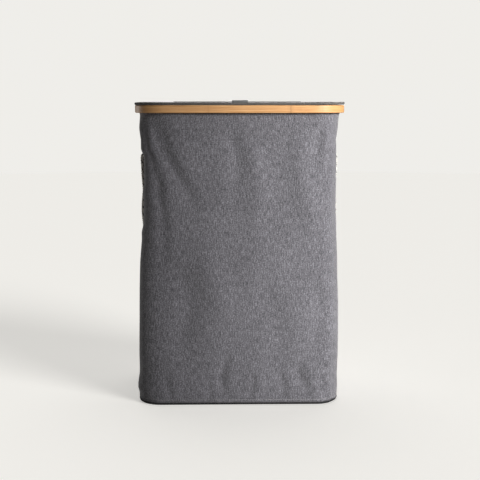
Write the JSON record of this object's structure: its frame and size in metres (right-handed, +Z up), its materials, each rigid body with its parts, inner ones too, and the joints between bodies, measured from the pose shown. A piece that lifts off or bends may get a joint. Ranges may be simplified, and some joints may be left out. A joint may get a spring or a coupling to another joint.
{
  "type": "laundry hamper with lid",
  "caption": "Tall round-cornered grey fabric laundry hamper with a bamboo rim, a thin hinged fabric lid with a pull tab, and hanging rope handles on both sides.",
  "frame": {"origin": "on the floor, under the middle of the hamper", "axes": "+Z up, the front faces -Y, the left side (as a viewer in front sees it) is -X"},
  "size_m": [0.4158, 0.3153, 0.6046],
  "materials": {
    "bamboo": "satin",
    "staple_steel": "satin",
    "grey_weave": "matte",
    "cream_lining": "matte",
    "dark_base_fabric": "matte",
    "piping": "matte",
    "fibreboard": "matte",
    "lid_cardboard": "matte",
    "rod_aluminium": "satin",
    "cap_plastic": "matte",
    "eyelet_steel": "satin",
    "cotton_rope": "matte",
    "grey_binding": "matte",
    "tab_fabric": "matte"
  },
  "bodies": {
    "hamper": {"rim_outer_band": "bamboo", "rim_inner_hoop": "bamboo", "rim_staples": "staple_steel", "bag_hem": "grey_weave", "bag_front_wrap": "grey_weave", "bag_back_panel": "grey_weave", "bag_lining": "cream_lining", "bag_bottom_panel": "dark_base_fabric", "bag_bottom_piping": "piping", "base_board": "fibreboard", "base_cover": "cream_lining", "rod_front_left": "rod_aluminium", "rod_front_right": "rod_aluminium", "rod_back_left": "rod_aluminium", "rod_back_right": "rod_aluminium", "sleeve_front_left": "cream_lining", "sleeve_front_right": "cream_lining", "sleeve_back_left": "cream_lining", "sleeve_back_right": "cream_lining", "rod_foot_caps": "cap_plastic", "rod_top_caps": "cap_plastic", "eyelets_left": "eyelet_steel", "eyelets_right": "eyelet_steel", "eyelet_washers": "eyelet_steel", "rope_knots_left": "cotton_rope", "rope_knots_right": "cotton_rope", "hinge_tape_rim": "grey_binding"},
    "lid": {"lid_board": "lid_cardboard", "lid_top_cover": "grey_weave", "lid_bottom_cover": "grey_weave", "lid_binding": "grey_binding", "hinge_tape_lid": "grey_binding"},
    "pull_tab": {"lid_pull_tab": "tab_fabric"},
    "handle_left": {"rope_handle_left": "cotton_rope"},
    "handle_right": {"rope_handle_right": "cotton_rope"}
  },
  "joints": [
    {"name": "lid_hinge", "type": "hinge", "parent": "hamper", "child": "lid", "pos_m": [0, 0.16, 0.595], "axis": [-1, 0, 0], "range_deg": [0, 255]},
    {"name": "handle_left_swing", "type": "hinge", "parent": "hamper", "child": "handle_left", "pos_m": [-0.19701, 0, 0.497], "axis": [0, 1, 0], "range_deg": [0, 168]},
    {"name": "handle_right_swing", "type": "hinge", "parent": "hamper", "child": "handle_right", "pos_m": [0.19701, 0, 0.497], "axis": [0, -1, 0], "range_deg": [0, 168]},
    {"name": "pull_tab_flip", "type": "hinge", "parent": "lid", "child": "pull_tab", "pos_m": [0, -0.1505, 0.601], "axis": [1, 0, 0], "range_deg": [0, 170]}
  ]
}
